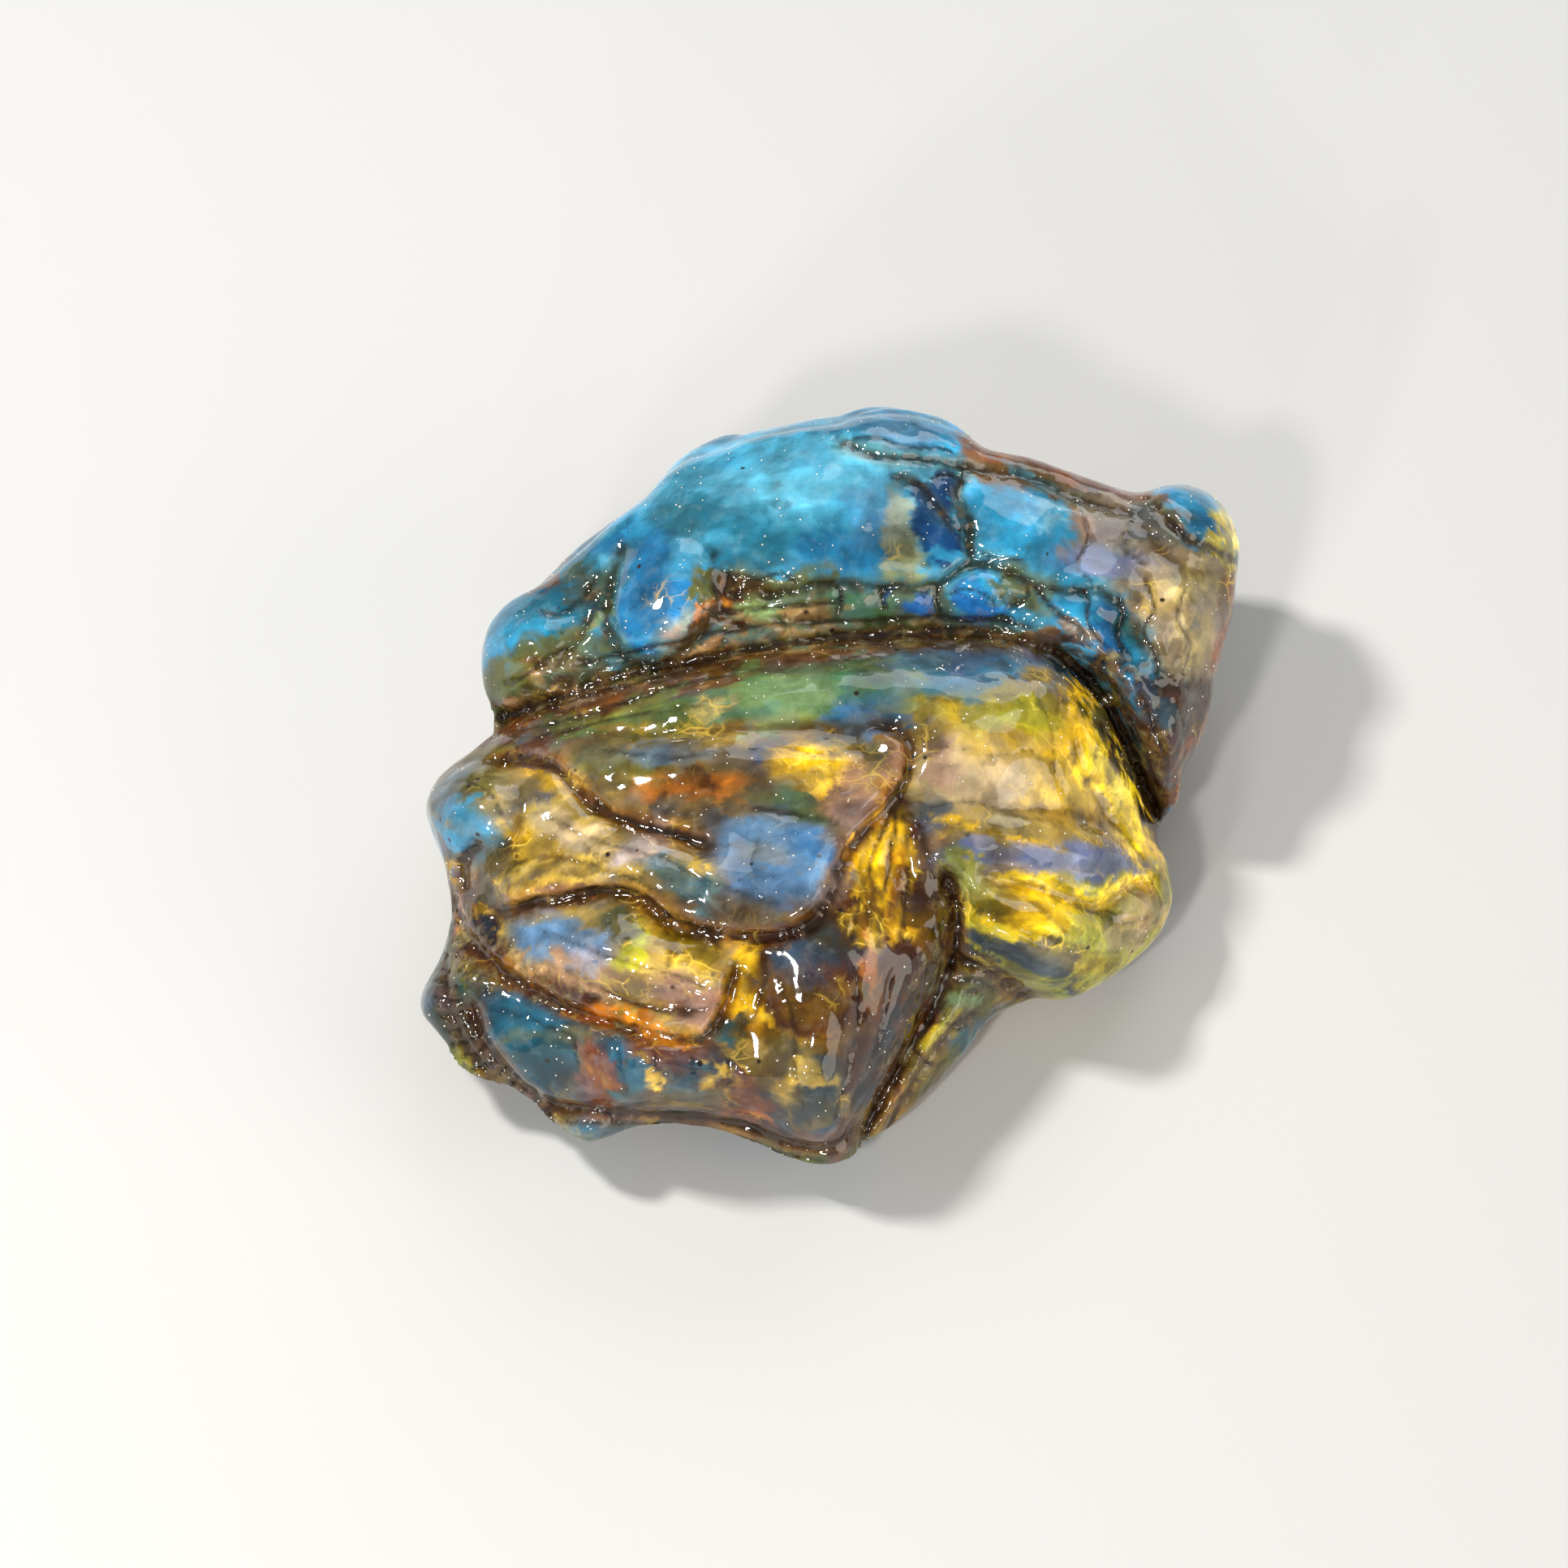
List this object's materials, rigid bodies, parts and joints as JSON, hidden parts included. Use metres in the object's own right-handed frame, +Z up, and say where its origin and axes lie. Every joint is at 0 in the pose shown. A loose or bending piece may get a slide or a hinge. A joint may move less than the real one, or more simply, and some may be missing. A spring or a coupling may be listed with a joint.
{
  "type": "rough amber nugget",
  "caption": "Rough nugget of blue amber: rolled flow lobes with deep folds and crust between them, blue over honey gold, worn level where it rests.",
  "frame": {"origin": "on the table, under the middle of the nugget's box", "axes": "+X to the right across the best face, -Y towards the viewer, +Z up; the best face looks towards -Y and up"},
  "size_m": [0.0675, 0.0665, 0.0294],
  "materials": {
    "amber": "wet-glossy natural resin, blue over honey gold, with dull brown crust in the folds"
  },
  "bodies": {
    "root": {"blue_amber": "amber"}
  },
  "joints": []
}
